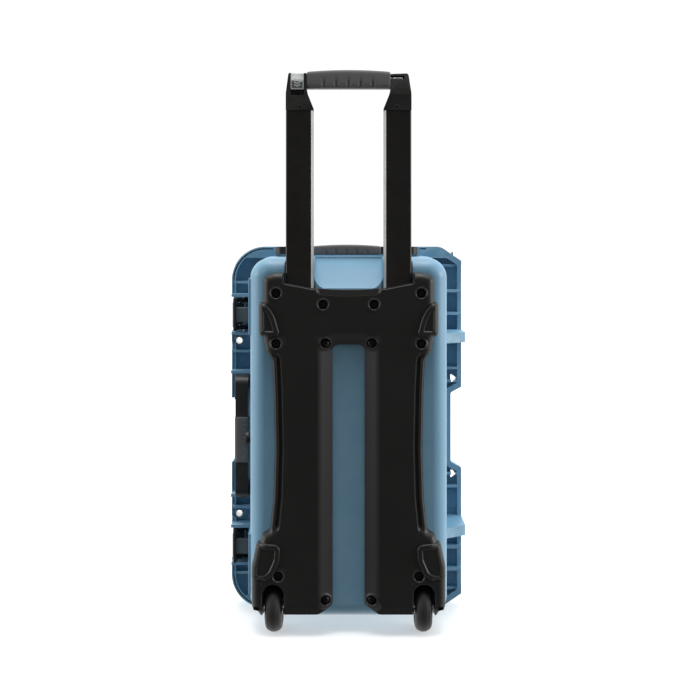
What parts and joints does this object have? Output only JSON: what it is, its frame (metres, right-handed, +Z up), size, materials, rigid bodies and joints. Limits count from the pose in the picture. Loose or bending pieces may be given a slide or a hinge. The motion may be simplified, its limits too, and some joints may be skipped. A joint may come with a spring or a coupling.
{
  "type": "wheeled equipment case",
  "caption": "Hard moulded wheeled case with hinged lid, foam cut for a drone, trolley handle that pulls out, carrying handles and claw latches.",
  "frame": {"origin": "bottom centre of the whole object's box, on the floor the case stands on", "axes": "+Z up, the trolley side (the back of the standing case) faces -Y, the lid faces +Y, the hinge side is +X"},
  "size_m": [0.3556, 0.229, 0.8121],
  "materials": {
    "shell_resin": "satin",
    "black_resin": "satin",
    "grey_resin": "satin",
    "grip_rubber": "matte",
    "handle_tube": "satin",
    "bright_strip": "satin",
    "silver_plastic": "satin",
    "steel": "satin",
    "black_screw": "satin",
    "wheel_tyre": "matte",
    "wheel_hub": "satin",
    "seal_rubber": "matte",
    "foam": "matte"
  },
  "bodies": {
    "base": {"base_shell": "shell_resin", "trolley_plate": "black_resin", "plate_screws": "black_screw", "bumper_upper_left": "black_resin", "bumper_upper_right": "black_resin", "bumper_lower_left": "black_resin", "bumper_lower_right": "black_resin", "hinge_pins": "steel", "latch_pins": "steel", "padlock_eyes_base": "shell_resin", "side_handle_pins": "steel", "top_handle_pins": "steel", "padlock_sleeves_base": "steel", "guide_bush_left": "black_resin", "guide_bush_right": "black_resin", "axle_left": "steel", "axle_right": "steel", "pressure_valve": "black_resin", "foam_floor": "foam", "foam_layer": "foam"},
    "lid": {"lid_shell": "shell_resin", "padlock_eyes_lid": "shell_resin", "lid_gasket": "seal_rubber", "padlock_sleeves_lid": "steel", "lid_foam": "foam"},
    "trolley": {"tube_left": "handle_tube", "tube_right": "handle_tube", "tube_trim_left": "bright_strip", "tube_trim_right": "bright_strip", "tube_shoe_left": "black_resin", "tube_shoe_right": "black_resin", "cap_left": "black_resin", "cap_right": "black_resin", "grip_core": "black_resin", "trolley_grip": "grip_rubber"},
    "release": {"release_button": "silver_plastic", "release_link": "steel", "push_rod_left": "steel", "push_rod_right": "steel"},
    "lock_bolt_left": {"lock_bolt_left": "steel"},
    "lock_bolt_right": {"lock_bolt_right": "steel"},
    "side_handle": {"side_handle_bail": "black_resin", "side_handle_grip": "grip_rubber"},
    "top_handle": {"top_handle_bail": "black_resin", "top_handle_grip": "grip_rubber"},
    "latch_lever_upper": {"latch_lever_upper": "black_resin", "claw_pin_upper": "steel"},
    "latch_claw_upper": {"latch_claw_upper": "black_resin"},
    "latch_lock_upper": {"latch_lock_upper": "grey_resin"},
    "latch_lever_lower": {"latch_lever_lower": "black_resin", "claw_pin_lower": "steel"},
    "latch_claw_lower": {"latch_claw_lower": "black_resin"},
    "latch_lock_lower": {"latch_lock_lower": "grey_resin"},
    "wheel_left": {"tyre_left": "wheel_tyre", "hub_left": "wheel_hub", "bearings_left": "steel"},
    "wheel_right": {"tyre_right": "wheel_tyre", "hub_right": "wheel_hub", "bearings_right": "steel"}
  },
  "joints": [
    {"name": "lid_hinge", "type": "hinge", "parent": "base", "child": "lid", "pos_m": [0.16625, 0.0535, 0.28], "axis": [0, 0, -1], "range_deg": [0, 110]},
    {"name": "trolley_slide", "type": "slide", "parent": "base", "child": "trolley", "axis": [0, 0, 1], "range_m": [-0.255, 0]},
    {"name": "button_press", "type": "slide", "parent": "trolley", "child": "release", "axis": [0, 0, -1], "range_m": [0, 0.006], "stiffness_N_per_m": 900, "springref_m": -0.006},
    {"name": "bolt_left_slide", "type": "slide", "parent": "trolley", "child": "lock_bolt_left", "axis": [1, 0, 0], "range_m": [0, 0.006]},
    {"name": "bolt_right_slide", "type": "slide", "parent": "trolley", "child": "lock_bolt_right", "axis": [-1, 0, 0], "range_m": [0, 0.006]},
    {"name": "side_handle_hinge", "type": "hinge", "parent": "base", "child": "side_handle", "pos_m": [-0.15675, 0.0195, 0.27275], "axis": [0, 0, -1], "range_deg": [0, 90]},
    {"name": "top_handle_hinge", "type": "hinge", "parent": "base", "child": "top_handle", "pos_m": [0.00025, 0.0195, 0.5522], "axis": [-1, 0, 0], "range_deg": [0, 90]},
    {"name": "latch_upper_lever", "type": "hinge", "parent": "base", "child": "latch_lever_upper", "pos_m": [-0.15875, 0.0385, 0.455], "axis": [0, 0, -1], "range_deg": [0, 95]},
    {"name": "latch_upper_claw", "type": "hinge", "parent": "latch_lever_upper", "child": "latch_claw_upper", "pos_m": [-0.16525, 0.031, 0.455], "axis": [0, 0, 1], "range_deg": [0, 120]},
    {"name": "latch_upper_lock", "type": "slide", "parent": "latch_lever_upper", "child": "latch_lock_upper", "axis": [0, 0, 1], "range_m": [0, 0.0045]},
    {"name": "latch_lower_lever", "type": "hinge", "parent": "base", "child": "latch_lever_lower", "pos_m": [-0.15875, 0.0385, 0.102], "axis": [0, 0, -1], "range_deg": [0, 95]},
    {"name": "latch_lower_claw", "type": "hinge", "parent": "latch_lever_lower", "child": "latch_claw_lower", "pos_m": [-0.16525, 0.031, 0.102], "axis": [0, 0, 1], "range_deg": [0, 120]},
    {"name": "latch_lower_lock", "type": "slide", "parent": "latch_lever_lower", "child": "latch_lock_lower", "axis": [0, 0, 1], "range_m": [0, 0.0045]},
    {"name": "wheel_left_spin", "type": "hinge", "parent": "base", "child": "wheel_left", "pos_m": [-0.10475, -0.0765, 0.0375], "axis": [1, 0, 0], "continuous": true},
    {"name": "wheel_right_spin", "type": "hinge", "parent": "base", "child": "wheel_right", "pos_m": [0.11125, -0.0765, 0.0375], "axis": [1, 0, 0], "continuous": true}
  ],
  "couplings": [
    {"joint": "bolt_left_slide", "follows": "button_press", "ratio": 1},
    {"joint": "bolt_right_slide", "follows": "button_press", "ratio": 1},
    {"joint": "latch_upper_claw", "follows": "latch_upper_lever", "ratio": 1.25},
    {"joint": "latch_lower_claw", "follows": "latch_lower_lever", "ratio": 1.25}
  ]
}
